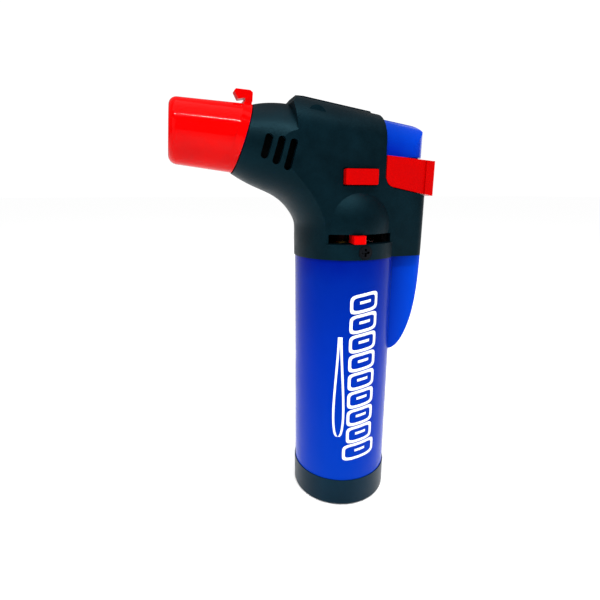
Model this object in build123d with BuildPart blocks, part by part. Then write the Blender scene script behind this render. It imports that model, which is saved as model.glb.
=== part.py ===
from build123d import *
import os
from math import cos, radians, sin, sqrt, tan

# Gun-style lampwork torch. Millimetres, +Z up. The origin is the centre of the foot's underside,
# on the tank's axis. The burner points to -X, the trigger is at +X and the left side is -Y.

os.makedirs("parts", exist_ok=True)

# ---------------------------------------------------------------- driving dimensions
# Clearances
RUN = 0.05  # radial clearance of a running or push fit
GAP = 0.3  # clearance between two mouldings that move past each other

# Foot and tank
foot_radius = 17.5
foot_height = 10.6
foot_floor = 2.0
foot_edge = 1.0
foot_port_radius = 6.0
tank_radius = 17.2
tank_wall = 2.0
tank_floor = 3.0
tank_top = 91.0
spigot_radius = 16.0
lobe_reach = 24.6
lobe_centre = 14.0
lobe_half_width = 10.5
lobe_corner = 6.0
lobe_depth = 33.5
lid_thickness = 3.5

# Housing
wall = 1.8
collar_radius = 17.5
collar_height = 4.9
collar_ledge = 1.2
body_half_width = 13.0
body_rear = 23.9
rear_corner = 3.0
roof_slope = 8.0
roof_peak = (-16.2, 139.2)
roof_edge_radius = 9.0
ridge_half_width = 3.6
ridge_rise = 0.8
ridge_end = 6.4
seam_x = 8.0
ledge_front = 112.95
ledge_rear = 110.5
ledge_corner = 3.3
dome_radius = 16.3
dome_rise = 12.6
vent_width = 2.2
vent_count = 3
vent_pitch = 3.4
vent_first = (-29.5, 124.5)
vent_length = 7.0
vent_growth = 1.0
vent_lean = 16.0

# Neck of the housing: (under side x, z), (upper side x, z), half width, from mouth to handle
neck_sections = [
    ((-38.4, 117.2), (-31.4, 137.2), 10.4),
    ((-31.8, 113.6), (-25.5, 138.0), 12.2),
    ((-24.6, 110.3), (-12.0, 136.0), 14.8),
    ((-18.9, 104.6), (6.0, 122.0), 16.6),
    ((-collar_radius, 98.0), (collar_radius, 98.0), collar_radius),
    ((-collar_radius, tank_top), (collar_radius, tank_top), collar_radius),
]

# Burner
burner_tilt = 4.9
burner_centre = (-35.0, 127.3)
burner_radius = 4.8
burner_wall = 0.7
burner_front = 16.0
burner_back = -12.0
air_hole_radius = 1.3
holder_thickness = 1.5
sleeve_radius = 7.55
sleeve_wall = 0.7
sleeve_front = 19.6
sleeve_neck_radius = 7.2
sleeve_neck_length = 4.0
mouth_gap = 0.5
insulator_radius = 0.8
electrode_radius = 0.3
jet_radius = 3.5

# Nozzle cap
cap_wall = 1.3
cap_length = 21.2
cap_draft = 2.6
cap_round = 2.4
cap_end_wall = 1.3
flange_radius = 10.4
flange_thickness = 2.6
hook_width = 3.4
hook_reach = 5.8
hook_height = 141.0

# Valve
valve_flange_radius = 7.5
valve_flange_height = 4.8
valve_neck_radius = 4.8
valve_neck_top = 100.0
valve_head_radius = 4.0
valve_head_top = 102.7
valve_bottom = 84.0
stem_radius = 1.5
stem_bottom = 88.0
stem_top = 108.0
stem_collar_radius = 3.0
stem_collar_z = 105.15
stem_collar_thickness = 1.2
bridge_z = 112.0
bridge_thickness = 1.4
bridge_half = 5.0
outlet_radius = 1.0
outlet_bore = 0.5
outlet_z = 100.4
hose_radius = 1.5

# Valve lever
lever_pivot = (4.6, 104.25)
lever_thickness = 1.5
lever_rear = 12.0
lever_tip = 0.5
pad_front = 10.6
pad_rear = 12.5
lever_fork_half = 3.4
lever_arm_half = 1.5
lever_pin_radius = 0.8
lever_pin_half = 7.5
lever_boss_radius = 2.2

# Flame adjuster
adjuster_radius = 8.0
adjuster_thickness = 2.5
adjuster_reach = 18.6
adjuster_lever_half = 2.0
adjuster_angle = -7.0
slot_half_length = 10.8
slot_height = 3.0

# Ignition
piezo_x = 16.3
piezo_half = 3.5
piezo_top = 106.0
plunger_radius = 2.5
plunger_bottom = 101.0
plunger_top = 120.0
lead_radius = 0.6

# Trigger
trigger_travel = 3.5
hood_half_width = 11.2
hood_rear = 23.6
hood_drop = 0.9
hood_bottom = 122.5
hood_round = 5.5
hood_edge_radius = 8.0
hood_corner = 5.0
hood_wall = 1.6
column_rear = 21.6
column_half_width = 9.0
column_wall = 1.5
column_bottom = 105.0
boss_radius = 3.5
boss_bottom = 118.2

# Flame lock: a cross bolt with a window that the trigger's arm passes through
lock_front = -6.0
lock_rear = 4.8
lock_bottom = 113.9
lock_height = 4.7
lock_proud = 1.6
lock_travel = 2.2
lock_rail = 2.4
arm_half_width = 1.5
arm_thickness = 1.8

# Safety clip
clip_wall = 1.2
clip_rear = 25.2
clip_top_front = 122.8
clip_top_rear = 121.4
clip_pad = 3.0
clip_pad_rise = 0.5

# Fasteners
screw_radius = 1.2
screw_head_radius = 2.2
screw_head_thickness = 1.4
boss_outer = 3.0
screw_places = [(-14.5, 133.2), (2.5, 128.5), (-17.5, 115.5)]
collar_screw_z = 93.4

# ---------------------------------------------------------------- derived places
collar_top = tank_top + collar_height
slope = radians(roof_slope)
tilt = radians(burner_tilt)
out_axis = Vector(-cos(tilt), 0, sin(tilt))
burner_plane = Plane(
    origin=(burner_centre[0], 0, burner_centre[1]), x_dir=(0, 1, 0), z_dir=out_axis
)
mouth_low, mouth_high = neck_sections[0][:2]
mouth_dx = mouth_high[0] - mouth_low[0]
mouth_dz = mouth_high[1] - mouth_low[1]
mouth_length = sqrt(mouth_dx**2 + mouth_dz**2)
mouth_normal = Vector(-mouth_dz / mouth_length, 0, mouth_dx / mouth_length)
mouth_centre = Vector(
    (mouth_low[0] + mouth_high[0]) / 2, 0, (mouth_low[1] + mouth_high[1]) / 2
)
far = 100.0


def roof_height(x):
    """Height of the sloping roof plane above the foot at x."""
    return roof_peak[1] - tan(slope) * (x - roof_peak[0])


def roofed_bar(half_width, drop, edge_radius):
    """A long bar with flat sides and a rounded top that runs along the roof's slope."""
    start = -far
    with BuildPart() as bar:
        with BuildSketch(Plane.YZ.offset(start)) as section:
            with Locations((0, roof_height(start) - drop)):
                Rectangle(2 * half_width, 2 * far, align=(Align.CENTER, Align.MAX))
            fillet(section.vertices().group_by(Axis.Y)[-1], edge_radius)
        extrude(amount=2 * far, dir=(cos(slope), 0, -sin(slope)))
    return bar.part


def side_slab(points, half_width):
    """A side outline given thickness to both sides of the middle plane."""
    with BuildPart() as slab:
        with BuildSketch(Plane.XZ):
            with BuildLine():
                Polyline(*points, close=True)
            make_face()
        extrude(amount=half_width, both=True)
    return slab.part


def shrunk(points, inset):
    """A clockwise side outline with each of its sides moved inwards by inset."""
    corners = [Vector(x, z) for x, z in points]
    moved = []
    for index, corner in enumerate(corners):
        arriving = (corner - corners[index - 1]).normalized()
        leaving = (corners[(index + 1) % len(corners)] - corner).normalized()
        normals = Vector(arriving.Y, -arriving.X), Vector(leaving.Y, -leaving.X)
        shift = (normals[0] + normals[1]) * (inset / (1 + normals[0].dot(normals[1])))
        moved.append(((corner + shift).X, (corner + shift).Y))
    return moved


def neck(inset, front_inset):
    """The tube that turns from the mouth into the handle, as a loft through elliptical sections."""
    with BuildPart() as tube:
        for index, (low, high, half_width) in enumerate(neck_sections):
            along = Vector(high[0] - low[0], 0, high[1] - low[1])
            centre = Vector((low[0] + high[0]) / 2, 0, (low[1] + high[1]) / 2)
            across = Vector(0, 1, 0)
            plane = Plane(origin=centre, x_dir=along, z_dir=along.cross(across))
            shift = front_inset if index == 0 else 0.0
            with BuildSketch(plane.offset(shift)):
                Ellipse(along.length / 2 - inset, half_width - inset)
        loft()
    return tube.part


def disc(plane, start, length, radius, bore=0.0):
    """A round bar or ring on a plane, from start along the plane's normal."""
    with BuildPart() as bar:
        with BuildSketch(plane.offset(start)):
            Circle(radius)
            if bore > 0:
                Circle(bore, mode=Mode.SUBTRACT)
        extrude(amount=length)
    return bar.part


def block(low, high):
    """A box between two opposite corners."""
    size = [b - a for a, b in zip(low, high)]
    middle = tuple((a + b) / 2 for a, b in zip(low, high))
    with BuildPart() as box:
        with Locations(middle):
            Box(*size)
    return box.part


def coil_spring(x, bottom, length, mean_radius, wire, turns):
    """An upright round-wire spring whose end coils touch the planes at its two ends."""
    run = length - wire
    with BuildPart() as spring:
        with BuildLine() as path:
            Helix(pitch=run / turns, height=run, radius=mean_radius, center=(x, 0, bottom + wire / 2))
        with BuildSketch(Plane(origin=path.line @ 0, z_dir=path.line % 0)):
            Circle(wire / 2)
        sweep()
    return spring.part


def tube_along(points, radii, radius):
    """A round tube along straight runs joined by tangent arcs."""
    with BuildPart() as tube:
        with BuildLine() as path:
            FilletPolyline(*points, radius=radii)
        with BuildSketch(Plane(origin=path.line @ 0, z_dir=path.line % 0)):
            Circle(radius)
        sweep()
    return tube.part


# ---------------------------------------------------------------- foot and tank
with BuildPart() as base_foot:
    with BuildSketch():
        Circle(foot_radius)
    extrude(amount=foot_height)
    with BuildSketch(Plane.XY.offset(foot_floor)):
        Circle(spigot_radius + RUN)
    extrude(amount=foot_height - foot_floor, mode=Mode.SUBTRACT)
    with BuildSketch():
        Circle(foot_port_radius)
    extrude(amount=foot_floor, mode=Mode.SUBTRACT)
    under_edges = base_foot.edges().filter_by(GeomType.CIRCLE).group_by(Axis.Z)[0]
    fillet(under_edges.sort_by(SortBy.RADIUS)[-1:], foot_edge)
base_foot.part.label = "base_foot"
export_step(base_foot.part, "parts/base_foot.step")


def lobe(inset):
    """The tank's rear lobe: a rounded bar whose back edge curves in as a quarter ellipse."""
    reach = lobe_reach - inset
    half_width = lobe_half_width - inset
    depth = lobe_depth - inset
    with BuildPart() as bulge:
        with BuildSketch(Plane.XY.offset(tank_top - lobe_depth)):
            with Locations((reach / 2, 0)):
                RectangleRounded(reach + lobe_corner, 2 * half_width, lobe_corner - inset)
        extrude(amount=lobe_depth)
        with BuildSketch(Plane.XZ):
            with BuildLine():
                Line((0, tank_top), (reach, tank_top))
                EllipticalCenterArc(
                    (lobe_centre, tank_top), reach - lobe_centre, depth, start_angle=270, arc_size=90
                )
                Line((lobe_centre, tank_top - depth), (0, tank_top - depth))
                Line((0, tank_top - depth), (0, tank_top))
            make_face()
        extrude(amount=far, both=True, mode=Mode.INTERSECT)
    return bulge.part


lobe_outer = lobe(0.0)
lobe_inner = lobe(tank_wall)
filler_bore = 3.0

with BuildPart() as tank:
    with BuildSketch(Plane.XY.offset(foot_floor)):
        Circle(spigot_radius)
    extrude(amount=foot_height - foot_floor)
    with BuildSketch(Plane.XY.offset(foot_height)):
        Circle(tank_radius)
    extrude(amount=tank_top - foot_height)
    add(lobe_outer)
    with BuildSketch(Plane.XY.offset(foot_floor + tank_floor)):
        Circle(spigot_radius - tank_wall)
    extrude(amount=tank_top, mode=Mode.SUBTRACT)
    with BuildSketch(Plane.XY.offset(foot_height + tank_wall)):
        Circle(tank_radius - tank_wall)
    extrude(amount=tank_top, mode=Mode.SUBTRACT)
    add(lobe_inner, mode=Mode.SUBTRACT)
    with BuildSketch(Plane.XY.offset(foot_floor)):
        Circle(filler_bore + RUN)
    extrude(amount=tank_floor, mode=Mode.SUBTRACT)
tank.part.label = "tank"
export_step(tank.part, "parts/tank.step")

lug_half = 3.0
lug_front = body_half_width - wall - GAP
lug_back = valve_flange_radius + 2 * GAP
with BuildPart() as tank_lid:
    with BuildSketch(Plane.XY.offset(tank_top - lid_thickness)):
        Circle(tank_radius - tank_wall - RUN)
    extrude(amount=lid_thickness)
    add(lobe(tank_wall + RUN) & block((0, -far, tank_top - lid_thickness), (far, far, tank_top)))
    add(block((-lug_half, -lug_front, tank_top), (lug_half, -lug_back, collar_top - GAP)))
    with BuildSketch(Plane.XY.offset(tank_top - lid_thickness)):
        Circle(valve_neck_radius + RUN)
    extrude(amount=lid_thickness, mode=Mode.SUBTRACT)
    with BuildSketch(Plane.XZ.offset(lug_back)):
        with Locations((0, collar_screw_z)):
            Circle(screw_radius + RUN)
    extrude(amount=collar_radius, mode=Mode.SUBTRACT)
tank_lid.part.label = "tank_lid"
export_step(tank_lid.part, "parts/tank_lid.step")

# ---------------------------------------------------------------- filler valve in the tank's floor
filler_flange_radius = 4.4
filler_flange = 1.0
filler_top = 13.0
filler_stem_radius = 1.1
filler_travel = 1.5
filler_chamber_radius = 2.2
filler_chamber_bottom = 4.0
filler_tip = 0.7

with BuildPart() as filler_body:
    with BuildSketch(Plane.XY.offset(foot_floor - filler_flange)):
        Circle(filler_flange_radius)
    extrude(amount=filler_flange)
    with BuildSketch(Plane.XY.offset(foot_floor)):
        Circle(filler_bore)
    extrude(amount=filler_top - foot_floor)
    with BuildSketch():
        Circle(filler_stem_radius + RUN)
    extrude(amount=filler_top, mode=Mode.SUBTRACT)
    with BuildSketch(Plane.XY.offset(filler_chamber_bottom)):
        Circle(filler_chamber_radius)
    extrude(amount=filler_top - filler_chamber_bottom - filler_flange, mode=Mode.SUBTRACT)
filler_body.part.label = "filler_body"
export_step(filler_body.part, "parts/filler_body.step")

filler_collar = 0.8
filler_seal_thickness = 0.8
filler_collar_bottom = filler_chamber_bottom + filler_seal_thickness + RUN
with BuildPart() as filler_stem:
    with BuildSketch(Plane.XY.offset(filler_tip)):
        Circle(filler_stem_radius)
    extrude(amount=filler_top - filler_travel - filler_tip)
    with BuildSketch(Plane.XY.offset(filler_collar_bottom)):
        Circle(filler_chamber_radius - GAP)
    extrude(amount=filler_collar)
filler_stem.part.label = "filler_stem"
export_step(filler_stem.part, "parts/filler_stem.step")

with BuildPart() as filler_seal:
    add(
        disc(
            Plane.XY, filler_chamber_bottom, filler_seal_thickness,
            filler_chamber_radius - RUN, filler_stem_radius + RUN,
        )
    )
filler_seal.part.label = "filler_seal"
export_step(filler_seal.part, "parts/filler_seal.step")

spring_wire = 0.4
with BuildPart() as filler_spring:
    add(
        coil_spring(
            0, filler_collar_bottom + filler_collar,
            filler_top - filler_flange - filler_collar_bottom - filler_collar,
            filler_stem_radius + spring_wire, spring_wire, 5,
        )
    )
filler_spring.part.label = "filler_spring"
export_step(filler_spring.part, "parts/filler_spring.step")

# ---------------------------------------------------------------- gas valve on the tank's axis
adjuster_bottom = collar_top + (slot_height - adjuster_thickness) / 2
seal_thickness = 1.1
seal_outer = 2.6
seal_lip = 0.4
seal_bottom = valve_head_top - seal_thickness - seal_lip
spigot_length = 3.0
spigot_end = -valve_head_radius - spigot_length
with BuildPart() as valve_body:
    add(disc(Plane.XY, valve_bottom, valve_neck_top - valve_bottom, valve_neck_radius))
    add(disc(Plane.XY, tank_top, valve_flange_height, valve_flange_radius))
    add(disc(Plane.XY, valve_neck_top, valve_head_top - valve_neck_top, valve_head_radius))
    outlet_plane = Plane(origin=(spigot_end, 0, outlet_z), x_dir=(0, 1, 0), z_dir=(1, 0, 0))
    add(disc(outlet_plane, 0, -spigot_end - stem_radius, outlet_radius))
    add(disc(outlet_plane, 0, -spigot_end, outlet_bore), mode=Mode.SUBTRACT)
    add(disc(Plane.XY, valve_bottom, far, stem_radius + RUN), mode=Mode.SUBTRACT)
    add(disc(Plane.XY, seal_bottom, seal_thickness, seal_outer), mode=Mode.SUBTRACT)
valve_body.part.label = "valve_body"
export_step(valve_body.part, "parts/valve_body.step")

with BuildPart() as valve_seal:
    add(disc(Plane.XY, seal_bottom, seal_thickness, seal_outer, stem_radius + RUN))
valve_seal.part.label = "valve_seal"
export_step(valve_seal.part, "parts/valve_seal.step")

pickup_radius = 1.5
pickup_bore = 1.0
pickup_bottom = 14.0
with BuildPart() as pickup_tube:
    add(disc(Plane.XY, pickup_bottom, valve_bottom - pickup_bottom, pickup_radius, pickup_bore))
pickup_tube.part.label = "pickup_tube"
export_step(pickup_tube.part, "parts/pickup_tube.step")

with BuildPart() as valve_stem:
    add(disc(Plane.XY, stem_bottom, stem_top - stem_bottom, stem_radius))
    add(disc(Plane.XY, stem_collar_z, stem_collar_thickness, stem_collar_radius))
valve_stem.part.label = "valve_stem"
export_step(valve_stem.part, "parts/valve_stem.step")

valve_spring_radius = 2.3
valve_spring_wire = 0.5
valve_spring_bottom = stem_collar_z + stem_collar_thickness
with BuildPart() as valve_spring:
    add(
        coil_spring(
            0, valve_spring_bottom, bridge_z - valve_spring_bottom,
            valve_spring_radius, valve_spring_wire, 4,
        )
    )
valve_spring.part.label = "valve_spring"
export_step(valve_spring.part, "parts/valve_spring.step")

# The valve lever: a fork under the stem's collar and an arm under the trigger's pad.
pivot_x, pivot_z = lever_pivot
lever_low = pivot_z - lever_thickness / 2
lever_high = pivot_z + lever_thickness / 2
with BuildPart() as valve_lever:
    add(block((lever_tip, -lever_fork_half, lever_low), (pivot_x + 1.0, lever_fork_half, lever_high)))
    add(block((pivot_x, -lever_arm_half, lever_low), (lever_rear, lever_arm_half, lever_high)))
    add(disc(Plane.XZ, -lever_fork_half, 2 * lever_fork_half, 1.4).moved(Location((pivot_x, 0, pivot_z))))
    add(
        block(
            (lever_tip - 1, -stem_radius - GAP, lever_low - 1),
            (stem_radius + 1.0, stem_radius + GAP, lever_high + 1),
        ),
        mode=Mode.SUBTRACT,
    )
    with BuildSketch(Plane.XZ.offset(-far)):
        with Locations((pivot_x, pivot_z)):
            Circle(lever_pin_radius + RUN)
    extrude(amount=2 * far, mode=Mode.SUBTRACT)
valve_lever.part.label = "valve_lever"
export_step(valve_lever.part, "parts/valve_lever.step")

with BuildPart() as lever_pin:
    with BuildSketch(Plane.XZ.offset(-lever_pin_half)):
        with Locations((pivot_x, pivot_z)):
            Circle(lever_pin_radius)
    extrude(amount=2 * lever_pin_half)
lever_pin.part.label = "lever_pin"
export_step(lever_pin.part, "parts/lever_pin.step")

# The flame adjuster: a ring round the valve's neck with a lever that stands out of the slot.
with BuildPart() as flame_adjuster:
    add(disc(Plane.XY, adjuster_bottom, adjuster_thickness, adjuster_radius))
    with BuildSketch(Plane.XY.offset(adjuster_bottom)):
        with Locations(Location((0, 0, 0), (0, 0, adjuster_angle))):
            Rectangle(2 * adjuster_lever_half, adjuster_reach, align=(Align.CENTER, Align.MAX))
    extrude(amount=adjuster_thickness)
    fillet(flame_adjuster.edges().filter_by(Axis.Z).sort_by(Axis.Y)[:2], 0.8)
    with BuildSketch(Plane.XY.offset(adjuster_bottom)):
        Circle(valve_neck_radius + RUN)
    extrude(amount=adjuster_thickness, mode=Mode.SUBTRACT)
flame_adjuster.part.label = "flame_adjuster"
export_step(flame_adjuster.part, "parts/flame_adjuster.step")

# ---------------------------------------------------------------- burner and gas path
burner_bore = burner_radius - burner_wall
air_hole_place = -6.0
with BuildPart() as burner_tube:
    add(disc(burner_plane, burner_back, burner_front - burner_back, burner_radius, burner_bore))
    for side in (Vector(0, 1, 0), Vector(sin(tilt), 0, cos(tilt))):
        hole_plane = Plane(origin=burner_plane.origin + out_axis * air_hole_place, z_dir=side)
        add(disc(hole_plane, -far, 2 * far, air_hole_radius), mode=Mode.SUBTRACT)
burner_tube.part.label = "burner_tube"
export_step(burner_tube.part, "parts/burner_tube.step")

holder_back = burner_front - 2.0 - holder_thickness
with BuildPart() as flame_holder:
    with BuildSketch(burner_plane.offset(holder_back)):
        Circle(burner_bore - RUN)
        with PolarLocations(2.6, 6):
            Circle(0.7, mode=Mode.SUBTRACT)
        Circle(0.7, mode=Mode.SUBTRACT)
    extrude(amount=holder_thickness)
flame_holder.part.label = "flame_holder"
export_step(flame_holder.part, "parts/flame_holder.step")

plug_length = 3.0
jet_length = 3.0
barb_length = 4.0
barb_radius = 1.0
jet_bore = 0.4
with BuildPart() as gas_jet:
    add(disc(burner_plane, burner_back, plug_length, burner_bore - RUN))
    add(disc(burner_plane, burner_back - jet_length, jet_length, jet_radius))
    add(disc(burner_plane, burner_back - jet_length - barb_length, barb_length, barb_radius))
    add(disc(burner_plane, -far, 2 * far, jet_bore), mode=Mode.SUBTRACT)
gas_jet.part.label = "gas_jet"
export_step(gas_jet.part, "parts/gas_jet.step")

barb_overlap = 2.0
insulator_offset = (burner_radius + sleeve_neck_radius - sleeve_wall) / 2 + 0.1
spacer_place = 3.0
spacer_thickness = 2.0
sleeve_bore = sleeve_radius - sleeve_wall
sleeve_cut = Plane(origin=mouth_centre + mouth_normal * mouth_gap, z_dir=mouth_normal)
with BuildPart() as nozzle_sleeve:
    add(disc(burner_plane, -14.0, sleeve_front + 14.0, sleeve_radius))
    split(bisect_by=sleeve_cut, keep=Keep.TOP)
    fillet(nozzle_sleeve.edges().sort_by(Axis.X)[:1], 0.35)
    add(disc(burner_plane, -sleeve_neck_length, sleeve_neck_length + 1.0, sleeve_neck_radius))
    add(disc(burner_plane, -far, 2 * far, sleeve_neck_radius - sleeve_wall + 0.15), mode=Mode.SUBTRACT)
    add(disc(burner_plane, spacer_place, far, sleeve_bore), mode=Mode.SUBTRACT)
nozzle_sleeve.part.label = "nozzle_sleeve"
export_step(nozzle_sleeve.part, "parts/nozzle_sleeve.step")

with BuildPart() as sleeve_spacer:
    with BuildSketch(burner_plane.offset(spacer_place)):
        Circle(sleeve_bore - RUN)
        Circle(burner_radius + RUN, mode=Mode.SUBTRACT)
        with Locations((insulator_offset, 0)):
            Circle(insulator_radius + RUN, mode=Mode.SUBTRACT)
    extrude(amount=spacer_thickness)
sleeve_spacer.part.label = "sleeve_spacer"
export_step(sleeve_spacer.part, "parts/sleeve_spacer.step")

insulator_back = -3.0
insulator_front = 11.0
with BuildPart() as insulator:
    with BuildSketch(burner_plane.offset(insulator_back)):
        with Locations((insulator_offset, 0)):
            Circle(insulator_radius)
            Circle(electrode_radius + RUN, mode=Mode.SUBTRACT)
    extrude(amount=insulator_front - insulator_back)
insulator.part.label = "insulator"
export_step(insulator.part, "parts/insulator.step")


def burner_point(across, along):
    """A point in the level plane that holds the burner's axis: sideways to +Y, then outwards."""
    return burner_plane.origin + out_axis * along + Vector(0, across, 0)


with BuildPart() as electrode:
    add(
        tube_along(
            [
                burner_point(insulator_offset, insulator_back - 2.0),
                burner_point(insulator_offset, burner_front + 1.0),
                burner_point(3.2, burner_front + 2.2),
            ],
            0.8,
            electrode_radius,
        )
    )
electrode.part.label = "electrode"
export_step(electrode.part, "parts/electrode.step")

hose_start = (spigot_end + barb_overlap, 0, outlet_z)
hose_end_along = burner_back - jet_length - barb_length + barb_overlap
hose_end = burner_point(0, hose_end_along)
hose_turn_x = -11.2
hose_turn = Vector(hose_turn_x, 0, hose_end.Z - (hose_turn_x - hose_end.X) * tan(tilt))
with BuildPart() as gas_hose:
    add(
        tube_along(
            [hose_start, (hose_turn_x, 0, outlet_z), hose_turn, hose_end],
            4.5,
            hose_radius,
        )
    )
    add(disc(outlet_plane, -RUN, far, outlet_radius + RUN), mode=Mode.SUBTRACT)
    add(disc(burner_plane, hose_end_along - barb_overlap - RUN, far, barb_radius + RUN), mode=Mode.SUBTRACT)
gas_hose.part.label = "gas_hose"
export_step(gas_hose.part, "parts/gas_hose.step")

# ---------------------------------------------------------------- piezo ignition
piezo_left = (piezo_x - piezo_half, -piezo_half, tank_top)
piezo_right = (piezo_x + piezo_half, piezo_half, piezo_top)
with BuildPart() as piezo_body:
    add(block(piezo_left, piezo_right))
    fillet(piezo_body.edges().filter_by(Axis.Z), 0.8)
    with BuildSketch(Plane.XY.offset(plunger_bottom - trigger_travel - GAP)):
        with Locations((piezo_x, 0)):
            Circle(plunger_radius + RUN)
    extrude(amount=far, mode=Mode.SUBTRACT)
piezo_body.part.label = "piezo_body"
export_step(piezo_body.part, "parts/piezo_body.step")

with BuildPart() as piezo_plunger:
    with BuildSketch(Plane.XY.offset(plunger_bottom)):
        with Locations((piezo_x, 0)):
            Circle(plunger_radius)
    extrude(amount=plunger_top - plunger_bottom)
piezo_plunger.part.label = "piezo_plunger"
export_step(piezo_plunger.part, "parts/piezo_plunger.step")

trigger_spring_wire = 0.7
with BuildPart() as trigger_spring:
    add(
        coil_spring(
            piezo_x, piezo_top, boss_bottom - piezo_top,
            plunger_radius + trigger_spring_wire, trigger_spring_wire, 7,
        )
    )
trigger_spring.part.label = "trigger_spring"
export_step(trigger_spring.part, "parts/trigger_spring.step")

lead_route = [
    (piezo_x, piezo_half + RUN, tank_top + 3.0),
    (piezo_x, 10.2, tank_top + 3.0),
    (6.0, 10.2, tank_top + 4.0),
    (-8.0, 9.6, tank_top + 13.0),
    (-12.5, 8.6, 118.0),
    burner_point(insulator_offset, insulator_back - 12.0),
    burner_point(insulator_offset, insulator_back - 2.0),
]
with BuildPart() as ignition_lead:
    add(tube_along(lead_route, 2.4, lead_radius))
ignition_lead.part.label = "ignition_lead"
export_step(ignition_lead.part, "parts/ignition_lead.step")

# ---------------------------------------------------------------- trigger
hood_front = seam_x + GAP
lock_top = lock_bottom + lock_height
arm_bottom = lock_top + GAP


def hood(inset):
    """The thumb cover: flat sides, a sloping rounded top and a rounded back."""
    front = hood_front - inset
    rear = hood_rear - inset
    roof_drop = hood_drop + inset
    rear_top = roof_height(rear) - roof_drop
    with BuildPart() as cover:
        with BuildSketch(Plane.XZ) as outline:
            with BuildLine():
                Polyline(
                    (front, hood_bottom), (rear, hood_bottom), (rear, rear_top),
                    (front, roof_height(front) - roof_drop), close=True,
                )
            make_face()
            fillet(outline.vertices().sort_by(Axis.X)[-2:].sort_by(Axis.Y)[-1:], hood_round - inset)
        extrude(amount=far, both=True)
        with BuildSketch():
            with Locations((rear, 0)):
                RectangleRounded(
                    2 * far, 2 * (hood_half_width - inset), hood_corner - inset,
                    align=(Align.MAX, Align.CENTER),
                )
        extrude(amount=2 * far, mode=Mode.INTERSECT)
        add(roofed_bar(hood_half_width - inset, roof_drop, hood_edge_radius - inset), mode=Mode.INTERSECT)
    return cover.part


hood_outer = hood(0.0)
hood_cavity = hood(hood_wall) & block((0, -far, hood_bottom + column_wall), (far, far, 2 * far))
with BuildPart() as trigger:
    add(hood_outer)
    add(hood_cavity, mode=Mode.SUBTRACT)
    for side in (-1, 1):
        edges = sorted((side * (column_half_width - column_wall), side * column_half_width))
        add(block((hood_front, edges[0], column_bottom), (column_rear, edges[1], hood_bottom)))
    add(
        block(
            (column_rear - column_wall, -column_half_width, column_bottom),
            (column_rear, column_half_width, hood_bottom),
        )
    )
    add(
        block(
            (pad_front, -lever_arm_half, lever_high + GAP),
            (pad_rear, lever_arm_half, hood_bottom),
        )
    )
    add(
        block(
            (lock_front + lock_rail + 1.0, -arm_half_width, arm_bottom),
            (pad_front, arm_half_width, arm_bottom + arm_thickness),
        )
    )
    piezo_plane = Plane(origin=(piezo_x, 0, 0))
    add(disc(piezo_plane, boss_bottom, hood_bottom - boss_bottom, boss_radius))
    add(disc(piezo_plane, boss_bottom, plunger_top - boss_bottom, plunger_radius + RUN), mode=Mode.SUBTRACT)
trigger.part.label = "trigger"
export_step(trigger.part, "parts/trigger.step")

# ---------------------------------------------------------------- flame lock
tongue_thickness = lock_top - (arm_bottom + arm_thickness - trigger_travel + GAP)
window_low = -arm_half_width - GAP
window_high = arm_half_width + GAP
far_end = body_half_width - lock_travel - 0.4
with BuildPart() as flame_lock:
    add(block((lock_front, -body_half_width - lock_proud, lock_bottom), (lock_rear, far_end, lock_top)))
    fillet(flame_lock.edges().filter_by(Axis.Y), 0.5)
    add(
        block(
            (lock_front + lock_rail, window_low, lock_bottom - 1),
            (lock_rear + 1, window_high, lock_top + 1),
        ),
        mode=Mode.SUBTRACT,
    )
    add(
        block(
            (lock_front + lock_rail, window_low - lock_travel - GAP, lock_bottom - 1),
            (lock_rear + 1, window_high, lock_top - tongue_thickness),
        ),
        mode=Mode.SUBTRACT,
    )
flame_lock.part.label = "flame_lock"
export_step(flame_lock.part, "parts/flame_lock.step")

# ---------------------------------------------------------------- safety clip
ledge_slope = (ledge_front - ledge_rear) / (body_rear - seam_x - ledge_corner)


def ledge_height(x):
    """Height of the ledge under the clip at x."""
    return ledge_front - ledge_slope * (x - seam_x - ledge_corner)


clip_front = seam_x + GAP + 0.05
clip_inner = body_half_width - clip_wall
clip_points = [
    (clip_front, ledge_height(clip_front) + GAP),
    (clip_rear, ledge_height(clip_rear) + GAP),
    (clip_rear, clip_top_rear),
    (clip_front, clip_top_front),
]
rail_top = hood_bottom - trigger_travel - 2 * GAP
rail_front = clip_front + ledge_corner
rail_inner = column_half_width + GAP
rear_wall_front = clip_rear - clip_wall
with BuildPart() as safety_clip:
    with BuildSketch(Plane.XZ) as outline:
        with BuildLine():
            Polyline(*clip_points, close=True)
        make_face()
        fillet(outline.vertices().sort_by(Axis.X)[:2].sort_by(Axis.Y)[:1], ledge_corner)
    extrude(amount=body_half_width, both=True)
    with BuildSketch(Plane.XY):
        with Locations((rear_wall_front, 0)):
            Rectangle(2 * far, 2 * clip_inner, align=(Align.MAX, Align.CENTER))
    extrude(amount=2 * far, mode=Mode.SUBTRACT)
    for side in (-1, 1):
        low_y, high_y = sorted((side * rail_inner, side * (clip_inner + 0.5)))
        rail = side_slab(
            [
                (rail_front, ledge_height(rail_front) + GAP),
                (rear_wall_front, ledge_height(rear_wall_front) + GAP),
                (rear_wall_front, rail_top),
                (rail_front, rail_top),
            ],
            far,
        )
        add(rail & block((0, low_y, 0), (far, high_y, 2 * far)))
        low_y, high_y = sorted((side * (body_half_width - 0.5), side * (body_half_width + clip_pad_rise)))
        pad_points = [
            (clip_rear - clip_pad, ledge_height(clip_rear - clip_pad) + GAP),
            (clip_rear, ledge_height(clip_rear) + GAP),
            (clip_rear, clip_top_rear),
            (clip_rear - clip_pad, clip_top_rear),
        ]
        add(side_slab(pad_points, far) & block((0, low_y, 0), (far, high_y, 2 * far)))
safety_clip.part.label = "safety_clip"
export_step(safety_clip.part, "parts/safety_clip.step")

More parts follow.
